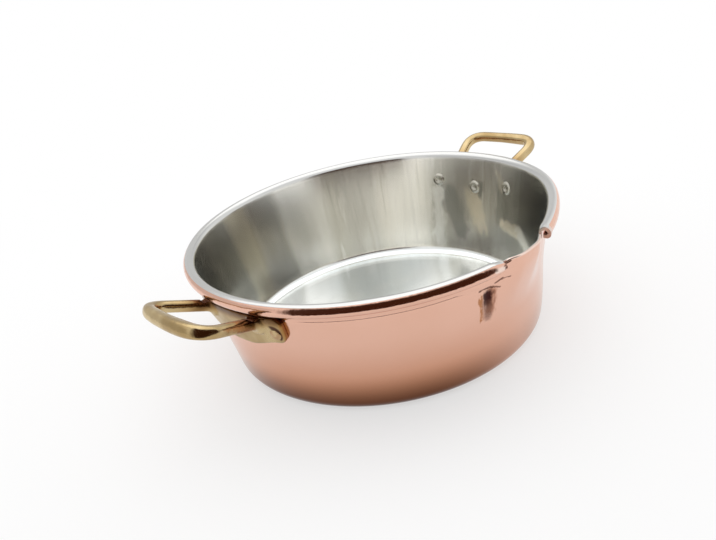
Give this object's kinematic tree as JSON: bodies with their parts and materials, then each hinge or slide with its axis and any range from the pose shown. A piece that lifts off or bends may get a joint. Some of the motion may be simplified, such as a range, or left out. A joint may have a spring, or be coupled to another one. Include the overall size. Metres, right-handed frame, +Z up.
{
  "type": "copper risotto pan",
  "caption": "Low round copper pan, tinned inside, with a rolled hollow rim, a pressed pouring lip and riveted cast brass side handles",
  "frame": {"origin": "middle of the flat underside, where the pan rests", "axes": "+Z up, the two handles along X, the pouring spout towards -Y"},
  "size_m": [0.374, 0.2896, 0.1003],
  "materials": {
    "copper": "polished",
    "tin": "wiped tin, softly streaked",
    "cast_brass": "polished casting",
    "rivet_metal": "satin"
  },
  "bodies": {
    "root": {"pan_body": "copper", "tin_lining": "tin", "handle_right": "cast_brass", "handle_left": "cast_brass", "rivet_right_front": "rivet_metal", "rivet_right_middle": "rivet_metal", "rivet_right_rear": "rivet_metal", "rivet_left_front": "rivet_metal", "rivet_left_middle": "rivet_metal", "rivet_left_rear": "rivet_metal"}
  },
  "joints": []
}
